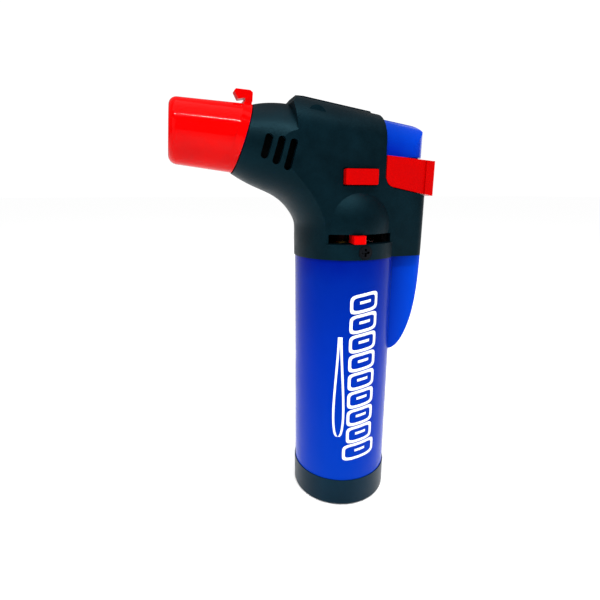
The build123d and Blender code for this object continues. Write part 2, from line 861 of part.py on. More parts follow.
# ---------------------------------------------------------------- housing shells
roof_line = 2 * far
ramp_start = (-21.3, 137.0)
ramp_end = (-18.6, 139.9)
body_outline = [
    (-11.0, tank_top),
    (-11.0, 104.0),
    (-19.5, 120.0),
    ramp_start,
    ramp_end,
    (roof_peak[0], roof_line),
    (seam_x, roof_line),
    (seam_x, ledge_front + ledge_corner),
    (seam_x + 0.3 * ledge_corner, ledge_front + 0.3 * ledge_corner),
    (seam_x + ledge_corner, ledge_front),
    (body_rear, ledge_rear),
    (body_rear, tank_top),
]
ridge_outline = [
    ramp_start,
    (ramp_end[0], roof_height(ramp_end[0]) + ridge_rise - 0.3),
    (roof_peak[0], roof_peak[1] + ridge_rise),
    (ridge_end, roof_height(ridge_end) + ridge_rise),
    (ridge_end + 0.8, roof_height(ridge_end + 0.8) - 0.2),
    (ridge_end, roof_height(ridge_end) - wall),
    (ramp_end[0], roof_height(ramp_end[0]) - 2 * wall),
]


def rear_rounded(inset):
    """A tall block with rounded rear corners, as wide as the body."""
    with BuildPart() as bar:
        with BuildSketch():
            with Locations((body_rear - inset, 0)):
                RectangleRounded(
                    2 * far, 2 * (body_half_width - inset), rear_corner - inset,
                    align=(Align.MAX, Align.CENTER),
                )
        extrude(amount=3 * far)
    return bar.part


def dome():
    """The raised dome round the valve: a ball on the tank's axis, above the slot."""
    base = collar_top + slot_height
    overhang = dome_radius**2 - body_half_width**2
    centre_rise = (dome_rise**2 - overhang) / (2 * dome_rise)
    ball_radius = sqrt(dome_radius**2 + centre_rise**2)
    with BuildPart() as bulge:
        with Locations(Location((0, 0, base + centre_rise), (0, 0, 90))):
            Sphere(ball_radius)
        add(block((-far, -far, base), (far, far, 2 * far)), mode=Mode.INTERSECT)
    return bulge.part


with BuildPart() as outer_form:
    add(side_slab(body_outline, body_half_width))
    add(roofed_bar(body_half_width, 0.0, roof_edge_radius), mode=Mode.INTERSECT)
    add(rear_rounded(0.0), mode=Mode.INTERSECT)
    add(neck(0.0, 0.0) & block((-far, -body_half_width, collar_top), (0, body_half_width, 3 * far)))
    add(side_slab(ridge_outline, ridge_half_width))
    add(disc(Plane.XY, tank_top, collar_height, collar_radius))
    add(dome())

inner_half_width = body_half_width - wall
boss_end = inner_half_width + wall / 4
with BuildPart() as inner_form:
    add(side_slab(shrunk(body_outline, wall), inner_half_width))
    add(roofed_bar(inner_half_width, wall, roof_edge_radius - wall), mode=Mode.INTERSECT)
    add(rear_rounded(wall), mode=Mode.INTERSECT)
    add(neck(wall, wall) & block((-far, -inner_half_width, collar_top), (0, inner_half_width, 3 * far)))
    add(disc(Plane.XY, tank_top - 1, collar_height + 1 - collar_ledge, collar_radius - wall))
    add(
        block((0, -inner_half_width, tank_top - 1), (body_rear - wall, inner_half_width, tank_top + 2 * wall))
    )

mouth_radius = sleeve_neck_radius + 0.1
column_gap = column_half_width + GAP
lock_slack = GAP
vents = []
for index in range(vent_count):
    vent_size = vent_length + index * vent_growth
    vent_x = vent_first[0] + index * vent_pitch
    vent_z = vent_first[1] - index * (vent_growth + 0.1)
    vents.append((vent_x, vent_z, vent_size))

with BuildPart() as housing:
    add(outer_form.part)
    add(inner_form.part, mode=Mode.SUBTRACT)
    # Bosses for the screws, the lever's pin and the bridge above the valve spring.
    for boss_x, boss_z in screw_places:
        boss_plane = Plane(origin=(boss_x, boss_end, boss_z), x_dir=(1, 0, 0), z_dir=(0, -1, 0))
        add(disc(boss_plane, 0, 2 * boss_end, boss_outer) & rear_rounded(wall / 2))
    for side in (-1, 1):
        boss_plane = Plane(origin=(pivot_x, side * boss_end, pivot_z), x_dir=(1, 0, 0), z_dir=(0, -side, 0))
        add(disc(boss_plane, 0, boss_end - lever_fork_half - GAP, lever_boss_radius))
    add(
        block(
            (-bridge_half, -boss_end, bridge_z),
            (bridge_half, boss_end, bridge_z + bridge_thickness),
        )
    )
    # Openings: ledge, mouth, flame lock, adjuster slot, vents, arm slot and screw holes.
    add(
        block(
            (hood_front - GAP, -column_gap, column_bottom - trigger_travel),
            (column_rear + GAP, column_gap, ledge_front + ledge_corner),
        ),
        mode=Mode.SUBTRACT,
    )
    add(disc(burner_plane, -8.0, far, mouth_radius), mode=Mode.SUBTRACT)
    add(
        block(
            (lock_front - lock_slack, -far, lock_bottom - lock_slack),
            (lock_rear + lock_slack, far, lock_top + lock_slack),
        ),
        mode=Mode.SUBTRACT,
    )
    add(
        block(
            (-slot_half_length, -far, collar_top),
            (slot_half_length, -adjuster_radius, collar_top + slot_height),
        ),
        mode=Mode.SUBTRACT,
    )
    with BuildSketch(Plane.XZ.offset(-far)):
        for vent_x, vent_z, vent_size in vents:
            with Locations(Location((vent_x, vent_z, 0), (0, 0, 90 - vent_lean))):
                SlotOverall(vent_size, vent_width)
    extrude(amount=2 * far, mode=Mode.SUBTRACT)
    add(
        block(
            (seam_x - wall - 0.5, -arm_half_width - GAP, arm_bottom - trigger_travel - GAP),
            (seam_x + 0.5, arm_half_width + GAP, arm_bottom + arm_thickness + GAP),
        ),
        mode=Mode.SUBTRACT,
    )
    with BuildSketch(Plane.XZ.offset(-lever_pin_half - RUN)):
        with Locations((pivot_x, pivot_z)):
            Circle(lever_pin_radius + RUN)
    extrude(amount=2 * (lever_pin_half + RUN), mode=Mode.SUBTRACT)
    head_floor = body_half_width - wall - 0.4
    screw_depth = 8.0
    with BuildSketch(Plane.XZ.offset(-head_floor)):
        with Locations(*screw_places):
            Circle(screw_radius + RUN)
    extrude(amount=head_floor + screw_depth + RUN, mode=Mode.SUBTRACT)
    with BuildSketch(Plane.XZ.offset(-far)):
        with Locations(*screw_places):
            Circle(screw_head_radius + 2 * RUN)
    extrude(amount=far - head_floor, mode=Mode.SUBTRACT)
    # Recess and hole of the screw that fastens the collar to the tank's lid.
    collar_head_floor = collar_radius - screw_head_thickness
    with BuildSketch(Plane.XZ.offset(collar_head_floor)):
        with Locations((0, collar_screw_z)):
            Circle(screw_head_radius + 2 * RUN)
    extrude(amount=far, mode=Mode.SUBTRACT)
    with BuildSketch(Plane.XZ.offset(lug_back)):
        with Locations((0, collar_screw_z)):
            Circle(screw_radius + RUN)
    extrude(amount=far, mode=Mode.SUBTRACT)

with BuildPart() as housing_left:
    add(housing.part)
    split(bisect_by=Plane.XZ, keep=Keep.TOP)
housing_left.part.label = "housing_left"
export_step(housing_left.part, "parts/housing_left.step")

with BuildPart() as housing_right:
    add(housing.part)
    split(bisect_by=Plane.XZ, keep=Keep.BOTTOM)
housing_right.part.label = "housing_right"
export_step(housing_right.part, "parts/housing_right.step")

# ---------------------------------------------------------------- fasteners
cross_width = 0.7
cross_depth = 0.8


def cross_screw(plane, shaft_length):
    """A pan-head cross-recess screw: its head stands on the plane, and its shaft goes behind it."""
    with BuildPart() as screw:
        add(disc(plane, 0, screw_head_thickness, screw_head_radius))
        add(disc(plane, -shaft_length, shaft_length, screw_radius))
        with BuildSketch(plane.offset(screw_head_thickness)):
            Rectangle(2.6, cross_width)
            Rectangle(cross_width, 2.6)
        extrude(amount=-cross_depth, mode=Mode.SUBTRACT)
    return screw.part


with BuildPart() as housing_screws:
    for screw_x, screw_z in screw_places:
        add(
            cross_screw(
                Plane(origin=(screw_x, head_floor, screw_z), x_dir=(1, 0, 0), z_dir=(0, 1, 0)),
                head_floor + screw_depth,
            )
        )
housing_screws.part.label = "housing_screws"
export_step(housing_screws.part, "parts/housing_screws.step")

with BuildPart() as collar_screw:
    add(
        cross_screw(
            Plane(origin=(0, -collar_head_floor, collar_screw_z), x_dir=(1, 0, 0), z_dir=(0, -1, 0)),
            collar_head_floor - lug_back,
        )
    )
collar_screw.part.label = "collar_screw"
export_step(collar_screw.part, "parts/collar_screw.step")

# ---------------------------------------------------------------- nozzle cap
cap_bore_tip = sleeve_radius + GAP
cap_tip_radius = cap_bore_tip + cap_wall
cap_spread = tan(radians(cap_draft))
cap_root = -8.0
cap_grow = (cap_length - cap_root) * cap_spread
cavity_length = cap_length - cap_end_wall
cap_cut = Plane(origin=mouth_centre + mouth_normal * GAP, z_dir=mouth_normal)
cap_axis = Axis(burner_plane.origin, out_axis)
cap_section = Plane(origin=burner_plane.origin, x_dir=(sin(tilt), 0, cos(tilt)), z_dir=(0, -1, 0))
with BuildPart() as cap_hollow:
    with BuildSketch(cap_section):
        with BuildLine():
            Polyline(
                (0, cap_root), (cap_bore_tip + cap_grow, cap_root),
                (cap_bore_tip, cavity_length), (0, cavity_length), close=True,
            )
        make_face()
    revolve(axis=cap_axis)

with BuildPart() as nozzle_cap:
    with BuildSketch(cap_section) as profile:
        with BuildLine():
            Polyline(
                (0, cap_root), (cap_tip_radius + cap_grow, cap_root),
                (cap_tip_radius, cap_length), (0, cap_length), close=True,
            )
        make_face()
        fillet(profile.vertices().group_by(Axis.Y)[-1].sort_by(Axis.X)[-1:], cap_round)
    revolve(axis=cap_axis)
    hook_stem = 1.7
    hook_foot = mouth_high[0] + 0.2
    with BuildSketch(Plane.XZ) as hook:
        with BuildLine():
            Polyline(
                (hook_foot - hook_stem - 1.6, mouth_high[1] - 3.0),
                (hook_foot - 0.6, mouth_high[1] - 3.0),
                (hook_foot, hook_height - 0.6),
                (hook_foot - 0.8, hook_height),
                (hook_foot - hook_reach + 0.8, hook_height + 0.2),
                (hook_foot - hook_reach + 0.2, hook_height - 0.4),
                (hook_foot - hook_reach + 1.3, hook_height - 2.6),
                (hook_foot - hook_stem - 0.6, hook_height - 2.2),
                close=True,
            )
        make_face()
        fillet(hook.vertices(), 0.3)
    extrude(amount=hook_width / 2, both=True)
    split(bisect_by=cap_cut, keep=Keep.TOP)
    add(disc(cap_cut, 0, flange_thickness, flange_radius))
    add(cap_hollow.part, mode=Mode.SUBTRACT)
nozzle_cap.part.label = "nozzle_cap"
export_step(nozzle_cap.part, "parts/nozzle_cap.step")
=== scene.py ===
import logging
from dataclasses import dataclass, field
from enum import Enum
from typing import Optional, Sequence

import bpy
import numpy as np
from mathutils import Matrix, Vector


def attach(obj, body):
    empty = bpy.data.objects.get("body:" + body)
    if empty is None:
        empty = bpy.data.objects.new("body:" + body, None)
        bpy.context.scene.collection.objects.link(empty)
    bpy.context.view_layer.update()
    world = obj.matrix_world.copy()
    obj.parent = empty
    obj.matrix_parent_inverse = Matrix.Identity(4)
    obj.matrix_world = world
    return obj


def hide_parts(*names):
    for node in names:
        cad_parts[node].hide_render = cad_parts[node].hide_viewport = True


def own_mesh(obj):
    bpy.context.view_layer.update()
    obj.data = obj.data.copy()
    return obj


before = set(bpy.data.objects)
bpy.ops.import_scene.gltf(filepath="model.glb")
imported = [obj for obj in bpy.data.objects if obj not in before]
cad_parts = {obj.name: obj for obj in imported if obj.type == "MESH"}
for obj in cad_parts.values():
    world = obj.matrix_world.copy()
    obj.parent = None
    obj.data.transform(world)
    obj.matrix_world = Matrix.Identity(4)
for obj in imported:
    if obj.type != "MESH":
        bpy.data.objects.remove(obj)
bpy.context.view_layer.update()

log = logging.getLogger("lampwork_torch")
MM = 0.001
CLOUD_MM = 14.0  # patches of worn colour
RUB_MM = 7.0  # patches of changed roughness
FLOW_MM = 22.0  # clouds in a clear moulding
FLOW_DRIFT_MM = 12.0  # how far those clouds shift a shade up
WORN_STOPS = (0.40, 0.78)  # where the cloud turns to the worn colour
RUB_RANGE = (0.3, 0.7)
RUB_SPREAD = (0.85, 1.2)  # shares of the mean roughness
COAT_ROUGHNESS = 0.04
PAINTED_SHADING_STOPS = (0.55, 0.90)  # shares of the painted shading gradient's height where its middle shades stand
PAINTED_REAR_LIGHT_SHARE = 0.8  # how much of the painted rear light shows


# ------------------------------------------------------------------ colour and node helpers
def linear(hex_code: str) -> tuple[float, float, float, float]:
    """Turns an sRGB hex colour into linear light.

    Args:
        hex_code: '#' and six hex digits.

    Returns:
        Linear red, green and blue, then 1.
    """
    digits = hex_code.lstrip("#")
    srgb = np.array([int(digits[i:i + 2], 16) for i in (0, 2, 4)]) / 255.0
    light = np.where(srgb <= 0.04045, srgb / 12.92, ((srgb + 0.055) / 1.055) ** 2.4)
    return float(light[0]), float(light[1]), float(light[2]), 1.0


def add_node(
    tree: bpy.types.NodeTree,
    kind: str,
    settings: Optional[dict] = None,
    inputs: Optional[dict] = None,
) -> bpy.types.Node:
    """Adds a node with its settings, its constants and its links.

    Args:
        tree: the node tree to add to.
        kind: the node's class name.
        settings: attribute names and their values.
        inputs: input names or numbers, each with a constant or with an output socket to link from.

    Returns:
        The new node.
    """
    node = tree.nodes.new(kind)
    for name, value in (settings or {}).items():
        setattr(node, name, value)
    for key, value in (inputs or {}).items():
        if isinstance(value, bpy.types.NodeSocket):
            tree.links.new(value, node.inputs[key])
        else:
            node.inputs[key].default_value = value
    return node


def grain_scale(size_mm: float) -> float:
    """Noise scale on Object coordinates in metres whose grains are about size_mm across."""
    return 1.0 / (size_mm * MM)


def place_of(tree: bpy.types.NodeTree) -> bpy.types.NodeSocket:
    """The Object coordinates of a material's own piece."""
    return add_node(tree, "ShaderNodeTexCoord").outputs["Object"]


def ramp(
    tree: bpy.types.NodeTree,
    factor: bpy.types.NodeSocket,
    stops: Sequence[tuple[float, tuple[float, float, float, float]]],
) -> bpy.types.NodeSocket:
    """A colour ramp.

    Args:
        tree: the node tree to add to.
        factor: the socket that drives it.
        stops: places from 0 to 1, each with its linear colour.

    Returns:
        The ramp's colour output.
    """
    node = add_node(tree, "ShaderNodeValToRGB", inputs={"Fac": factor})
    elements = node.color_ramp.elements
    while len(elements) < len(stops):
        elements.new(0.5)
    for element, (position, colour) in zip(elements, stops):
        element.position = position
        element.color = colour
    return node.outputs["Color"]


class Grain(Enum):
    """How a moulded or cut surface breaks up the light."""

    SPARK = "spark-eroded mould texture"
    SATIN = "fine satin mould texture"
    POLISHED = "polished mould"
    TURNED = "turned on a lathe"
    DRAWN = "drawn wire or tube"


# Tool marks are long and thin, so their pattern is squeezed across them.
MARK_STRETCH = {Grain.DRAWN: (40.0, 40.0, 1.0), Grain.TURNED: (3.0, 3.0, 30.0)}


@dataclass(frozen=True)
class Finish:
    """A material that starts from the real one and from the way that its surface was made.

    Attributes:
        name: the material's name, as a maker would say it.
        colour: sRGB hex of the surface in even light.
        worn_and_painted_shade: sRGB hex of rubbed or dusty places; in a tinted shell, painted
            shading high in its gradient.
        grain: how the surface was made.
        grain_mm: the size of its grain in millimetres.
        relief_mm: how deep the grain is.
        roughness: the mean micro-roughness.
        ior: index of refraction.
        specular: share of the index's reflection that shows.
        metallic: 1 for bare metal.
        transmission: share of light that goes through.
        coat: weight of a clear lacquer.
        sheen: sRGB hex that tints the reflections, as a pigmented skin does.
    """

    name: str
    colour: str
    worn_and_painted_shade: str
    grain: Grain = Grain.SATIN
    grain_mm: float = 0.6
    relief_mm: float = 0.02
    roughness: float = 0.4
    ior: float = 1.5
    specular: float = 0.5
    metallic: float = 0.0
    transmission: float = 0.0
    coat: float = 0.0
    sheen: str = "#ffffff"

    def colour_socket(
        self, tree: bpy.types.NodeTree, place: bpy.types.NodeSocket
    ) -> bpy.types.NodeSocket:
        """The surface colour: the base colour, with cloudy patches of the worn one."""
        cloud = add_node(
            tree, "ShaderNodeTexNoise",
            inputs={
                "Vector": place, "Scale": grain_scale(CLOUD_MM), "Detail": 5.0, "Roughness": 0.62,
            },
        )
        return ramp(
            tree, cloud.outputs["Fac"],
            [(WORN_STOPS[0], linear(self.colour)), (WORN_STOPS[1], linear(self.worn_and_painted_shade))],
        )

    def relief(
        self, tree: bpy.types.NodeTree, place: bpy.types.NodeSocket
    ) -> bpy.types.NodeSocket:
        """The normal of the fine relief that the surface's making left on it."""
        if self.grain in MARK_STRETCH:
            stretched = add_node(
                tree, "ShaderNodeMapping",
                inputs={"Vector": place, "Scale": MARK_STRETCH[self.grain]},
            )
            place = stretched.outputs["Vector"]
        fine = add_node(
            tree, "ShaderNodeTexNoise",
            inputs={
                "Vector": place, "Scale": grain_scale(self.grain_mm),
                "Detail": 3.0, "Roughness": 0.6,
            },
        )
        bump = add_node(
            tree, "ShaderNodeBump",
            inputs={
                "Strength": 1.0, "Distance": self.relief_mm * MM, "Height": fine.outputs["Fac"],
            },
        )
        return bump.outputs["Normal"]

    def roughness_socket(
        self, tree: bpy.types.NodeTree, place: bpy.types.NodeSocket
    ) -> bpy.types.NodeSocket:
        """Roughness that drifts a little: polished by hands in patches, with fine rub marks."""
        rub = add_node(
            tree, "ShaderNodeTexNoise",
            inputs={"Vector": place, "Scale": grain_scale(RUB_MM), "Detail": 6.0, "Roughness": 0.7},
        )
        spread = add_node(
            tree, "ShaderNodeMapRange",
            inputs={
                "Value": rub.outputs["Fac"], "From Min": RUB_RANGE[0], "From Max": RUB_RANGE[1],
                "To Min": self.roughness * RUB_SPREAD[0],
                "To Max": min(1.0, self.roughness * RUB_SPREAD[1]),
            },
        )
        return spread.outputs["Result"]

    def build(self) -> bpy.types.Material:
        """Makes the material.

        Returns:
            The finished material.
        """
        material = bpy.data.materials.new(self.name)
        material.use_nodes = True
        tree = material.node_tree
        tree.nodes.clear()
        place = place_of(tree)
        shader = add_node(
            tree, "ShaderNodeBsdfPrincipled",
            inputs={
                "Base Color": self.colour_socket(tree, place),
                "Roughness": self.roughness_socket(tree, place),
                "Normal": self.relief(tree, place),
                "Metallic": self.metallic,
                "IOR": self.ior,
                "Specular IOR Level": self.specular,
                "Specular Tint": linear(self.sheen),
                "Transmission Weight": self.transmission,
                "Coat Weight": self.coat,
                "Coat Roughness": COAT_ROUGHNESS,
            },
        )
        add_node(tree, "ShaderNodeOutputMaterial", inputs={"Surface": shader.outputs["BSDF"]})
        return material


@dataclass(frozen=True)
class TintedShell(Finish):
    """Tinted styrene-acrylonitrile, injection moulded, with painted shading by height and painted
    light at the rear.

    Attributes:
        foot_painted_shading: sRGB hex of the painted shading at the foot of the gradient.
        low_z: height of the gradient's foot in millimetres.
        high_z: height of its top.
        top_painted_shading: sRGB hex of the painted shading at its top.
        painted_rear_light: sRGB hex of painted light that the hollow rear, with light behind it,
            tends to.
        rear_light_x: where that painted light starts and is full, in millimetres behind the tank's
            axis.
    """

    foot_painted_shading: str = "#0a50dc"
    top_painted_shading: str = "#0020a0"
    painted_rear_light: str = "#0040d0"
    low_z: float = 10.0
    high_z: float = 92.0
    rear_light_x: tuple[float, float] = (13.0, 25.0)

    def colour_socket(
        self, tree: bpy.types.NodeTree, place: bpy.types.NodeSocket
    ) -> bpy.types.NodeSocket:
        """The painted shading by height, with faint flow clouds, and painted light mixed in behind.
        """
        split = add_node(tree, "ShaderNodeSeparateXYZ", inputs={"Vector": place})
        height = split.outputs["Z"]
        cloud = add_node(
            tree, "ShaderNodeTexNoise",
            inputs={
                "Vector": place, "Scale": grain_scale(FLOW_MM), "Detail": 3.0, "Roughness": 0.5,
            },
        )
        drift = add_node(
            tree, "ShaderNodeMath", {"operation": "MULTIPLY_ADD"},
            {0: cloud.outputs["Fac"], 1: FLOW_DRIFT_MM * MM, 2: height},
        )
        mean_drift = FLOW_DRIFT_MM / 2
        share = add_node(
            tree, "ShaderNodeMapRange",
            inputs={
                "Value": drift.outputs["Value"],
                "From Min": (self.low_z + mean_drift) * MM,
                "From Max": (self.high_z + mean_drift) * MM,
            },
        )
        # painted shading by height: the tank darker towards its top, the trigger lighter
        painted_shading = ramp(
            tree, share.outputs["Result"],
            [
                (0.0, linear(self.foot_painted_shading)),
                (PAINTED_SHADING_STOPS[0], linear(self.colour)),
                (PAINTED_SHADING_STOPS[1], linear(self.worn_and_painted_shade)),
                (1.0, linear(self.top_painted_shading)),
            ],
        )
        # painted light over the hollow rear
        rear = add_node(
            tree, "ShaderNodeMapRange",
            inputs={
                "Value": split.outputs["X"], "To Max": PAINTED_REAR_LIGHT_SHARE,
                "From Min": self.rear_light_x[0] * MM, "From Max": self.rear_light_x[1] * MM,
            },
        )
        mixed = add_node(
            tree, "ShaderNodeMix", {"data_type": "RGBA"},
            {0: rear.outputs["Result"], 6: painted_shading, 7: linear(self.painted_rear_light)},
        )
        return mixed.outputs[2]


@dataclass(frozen=True)
class SlotShadedMoulding(Finish):
    """A coloured moulding with painted black shade in its slot, told apart by distance from the
    axis.

    Attributes:
        painted_slot_shade: sRGB hex of the painted black shade in the slot.
        tip_from: distance from the axis in millimetres where the coloured end starts.
        blend: half of the width over which the painted shade gives way to the colour, in
            millimetres.
    """

    painted_slot_shade: str = "#08090a"
    tip_from: float = 13.0
    blend: float = 0.3

    def colour_socket(
        self, tree: bpy.types.NodeTree, place: bpy.types.NodeSocket
    ) -> bpy.types.NodeSocket:
        """The coloured end, and black painted shade nearer to the axis than where it starts."""
        tip = Finish.colour_socket(self, tree, place)
        level = add_node(
            tree, "ShaderNodeVectorMath", {"operation": "MULTIPLY"}, {0: place, 1: (1.0, 1.0, 0.0)}
        )
        reach = add_node(
            tree, "ShaderNodeVectorMath", {"operation": "LENGTH"}, {0: level.outputs["Vector"]}
        )
        share = add_node(
            tree, "ShaderNodeMapRange",
            inputs={
                "Value": reach.outputs["Value"],
                "From Min": (self.tip_from - self.blend) * MM,
                "From Max": (self.tip_from + self.blend) * MM,
            },
        )
        # painted shade: black inside the slot, nearer to the axis than the red end
        mixed = add_node(
            tree, "ShaderNodeMix", {"data_type": "RGBA"},
            {0: share.outputs["Result"], 6: linear(self.painted_slot_shade), 7: tip},
        )
        return mixed.outputs[2]


# Injection-moulded ABS from a spark-eroded mould: near black, cold green, with a fine sparkle.
HOUSING_ABS = Finish(
    "spark-textured ABS", "#020c12", "#04171f", Grain.SPARK,
    grain_mm=0.55, relief_mm=0.045, roughness=0.42, specular=0.16, sheen="#6fc4dc",
)
# The same ABS from a smoother mould, as the foot's.
FOOT_ABS = Finish(
    "satin ABS", "#021722", "#04202e", Grain.SATIN,
    grain_mm=0.9, relief_mm=0.010, roughness=0.34, specular=0.16, sheen="#6fb4e6",
)
# Tinted SAN of the tank: a smooth, deep blue shell that lets a little light through.
# Its colours are painted shading, darker towards the top, and painted light over the rear.
TANK_SAN = TintedShell(
    "tinted tank SAN", "#00289c", "#002088", Grain.POLISHED,
    grain_mm=2.4, relief_mm=0.004, roughness=0.20, specular=0.08, transmission=0.06, ior=1.45,
    sheen="#4a8cff", foot_painted_shading="#0032a4", top_painted_shading="#001078", painted_rear_light="#0044cc",
    low_z=12.0, high_z=91.0,
)
# Tinted SAN of the trigger: painted light makes it lighter towards its top and at its rear.
TRIGGER_SAN = TintedShell(
    "tinted trigger SAN", "#001c9c", "#0036a0", Grain.POLISHED,
    grain_mm=2.0, relief_mm=0.004, roughness=0.18, specular=0.22, transmission=0.06, ior=1.45,
    sheen="#6ab0ff", foot_painted_shading="#0018a0", top_painted_shading="#0050a8", painted_rear_light="#0038b8",
    low_z=112.0, high_z=136.0,
)
# High-gloss polypropylene of the cap: an even pillar-box red with a wet shine.
CAP_PP = Finish(
    "gloss red polypropylene", "#c80000", "#bc0002", Grain.POLISHED,
    grain_mm=3.0, relief_mm=0.004, roughness=0.14, specular=0.03, coat=0.15, sheen="#ff7070",
)
# The same plastic from a satin mould: clip and lock button.
SATIN_RED_PP = Finish(
    "satin red polypropylene", "#ae0000", "#a20002", Grain.SATIN,
    grain_mm=1.0, relief_mm=0.008, roughness=0.34, specular=0.10, sheen="#ff7070",
)
# Adjuster: painted shade makes the ring in the slot black, and only the lever's end shows red.
ADJUSTER_PP = SlotShadedMoulding(
    "adjuster polypropylene with painted slot shade", "#c40000", "#b40002", Grain.SATIN,
    grain_mm=1.0, relief_mm=0.008, roughness=0.36, specular=0.10, sheen="#ff7070",
)
# Spun aluminium sleeve under a clear blue lacquer.
SLEEVE_LACQUER = Finish(
    "blue lacquered sleeve", "#0a34c0", "#0830b0", Grain.TURNED,
    grain_mm=0.8, relief_mm=0.004, roughness=0.18, specular=0.5, coat=1.0,
)
# Free-cutting brass, turned: fine rings, and a brown bloom of tarnish.
TURNED_BRASS = Finish(
    "turned brass", "#c9a24e", "#9a7432", Grain.TURNED,
    grain_mm=0.5, relief_mm=0.006, roughness=0.28, metallic=1.0,
)
# Black-oxide steel screw.
BLACK_OXIDE = Finish(
    "black oxide steel", "#14161a", "#2a2c30", Grain.SATIN,
    grain_mm=0.4, relief_mm=0.006, roughness=0.35, metallic=1.0,
)
# Bright drawn spring steel.
SPRING_STEEL = Finish(
    "drawn spring steel", "#b8bac0", "#8c8e94", Grain.DRAWN,
    grain_mm=0.6, relief_mm=0.004, roughness=0.25, metallic=1.0,
)
# Drawn stainless tube, straw-tinted by heat in patches.
HEATED_STAINLESS = Finish(
    "heat-tinted stainless", "#8e8a86", "#6e5a48", Grain.DRAWN,
    grain_mm=0.7, relief_mm=0.006, roughness=0.32, metallic=1.0,
)
# Nitrile rubber: black, dull, with a faint bloom.
NITRILE = Finish(
    "nitrile rubber", "#101112", "#1e2022", Grain.SATIN,
    grain_mm=0.5, relief_mm=0.01, roughness=0.62, specular=0.3,
)
# Fired steatite: warm white, unglazed.
STEATITE = Finish(
    "steatite ceramic", "#e4e0d4", "#cfc8b8", Grain.SATIN,
    grain_mm=0.3, relief_mm=0.01, roughness=0.55, specular=0.4,
)
# Natural polyethylene tube: milky.
POLYETHYLENE = Finish(
    "natural polyethylene", "#d8dce0", "#c8ccd0", Grain.SATIN,
    grain_mm=1.0, relief_mm=0.006, roughness=0.4, transmission=0.4, ior=1.51,
)
# Dark moulded nylon.
NYLON = Finish(
    "dark nylon", "#191a1d", "#26282c", Grain.SATIN,
    grain_mm=0.6, relief_mm=0.01, roughness=0.45, specular=0.4,
)
# Near-black dull sheet behind the vents: painted shade, the dullest black in the housing.
VENT_SHADE_SHEET = Finish(
    "black painted shade sheet", "#020304", "#050607", Grain.SATIN,
    grain_mm=0.4, relief_mm=0.01, roughness=0.85, specular=0.05,
)
# Soft PVC lead sheath.
PVC_SHEATH = Finish(
    "soft PVC sheath", "#a01018", "#8a0e14", Grain.SATIN,
    grain_mm=0.6, relief_mm=0.006, roughness=0.42, specular=0.4,
)
# Pad-printed epoxy ink: matt white, a little uneven.
PRINT_INK = Finish(
    "white pad-print ink", "#f4f7ff", "#e6ecfa", Grain.SATIN,
    grain_mm=0.5, relief_mm=0.004, roughness=0.5, specular=0.3,
)
# Powder-coated pale board for the floor.
FLOOR_BOARD = Finish(
    "pale floor board", "#fefefe", "#fcfcfc", Grain.SATIN,
    grain_mm=3.0, relief_mm=0.01, roughness=1.0, specular=0.0,
)

NODE_FINISH: dict[str, Finish] = {
    "housing_left": HOUSING_ABS, "housing_right": HOUSING_ABS, "base_foot": FOOT_ABS,
    "tank": TANK_SAN, "tank_lid": TANK_SAN, "trigger": TRIGGER_SAN,
    "nozzle_cap": CAP_PP, "safety_clip": SATIN_RED_PP, "flame_lock": SATIN_RED_PP,
    "flame_adjuster": ADJUSTER_PP, "nozzle_sleeve": SLEEVE_LACQUER,
    "filler_body": TURNED_BRASS, "filler_stem": TURNED_BRASS, "valve_body": TURNED_BRASS,
    "valve_stem": TURNED_BRASS, "gas_jet": TURNED_BRASS, "flame_holder": TURNED_BRASS,
    "collar_screw": BLACK_OXIDE, "housing_screws": BLACK_OXIDE,
    "filler_spring": SPRING_STEEL, "valve_spring": SPRING_STEEL, "trigger_spring": SPRING_STEEL,
    "lever_pin": SPRING_STEEL, "electrode": SPRING_STEEL, "burner_tube": HEATED_STAINLESS,
    "filler_seal": NITRILE, "valve_seal": NITRILE, "gas_hose": NITRILE,
    "sleeve_spacer": STEATITE, "insulator": STEATITE, "pickup_tube": POLYETHYLENE,
    "valve_lever": NYLON, "piezo_body": NYLON, "piezo_plunger": NYLON,
    "ignition_lead": PVC_SHEATH,
}


# ------------------------------------------------------------------ meshes from numpy
def grid_faces(rows: int, columns: int, closed: bool = False) -> np.ndarray:
    """Quads of a grid of rows by columns points, counted row by row.

    Args:
        rows: points along the first parameter.
        columns: points along the second parameter.
        closed: whether the last row joins the first.

    Returns:
        One row of four vertex numbers for each quad.
    """
    row = np.arange(rows if closed else rows - 1)[:, None]
    column = np.arange(columns - 1)[None, :]
    after = (row + 1) % rows
    corners = [
        row * columns + column, after * columns + column,
        after * columns + column + 1, row * columns + column + 1,
    ]
    return np.stack(np.broadcast_arrays(*corners), axis=-1).reshape(-1, 4)


def mesh_object(
    name: str, points: np.ndarray, faces: Sequence[Sequence[int]], smooth: bool = True
) -> bpy.types.Object:
    """Puts points and faces into a new object at the origin.

    Args:
        name: the object's name.
        points: vertices in metres, one row each.
        faces: vertex numbers of each face.
        smooth: whether the shading is smooth.

    Returns:
        The new object, linked to the scene.
    """
    mesh = bpy.data.meshes.new(name)
    mesh.from_pydata(points.tolist(), [], [[int(number) for number in face] for face in faces])
    mesh.polygons.foreach_set("use_smooth", np.full(len(mesh.polygons), smooth))
    mesh.update()
    made = bpy.data.objects.new(name, mesh)
    bpy.context.scene.collection.objects.link(made)
    return made


FLAME_FULLNESS = 0.55  # power that brings the flame's fullest place low down
FLAME_POINT = 0.35  # power that draws its tip out
FLAME_LINE_SHARE = 0.75  # its line is finer than the blocks'


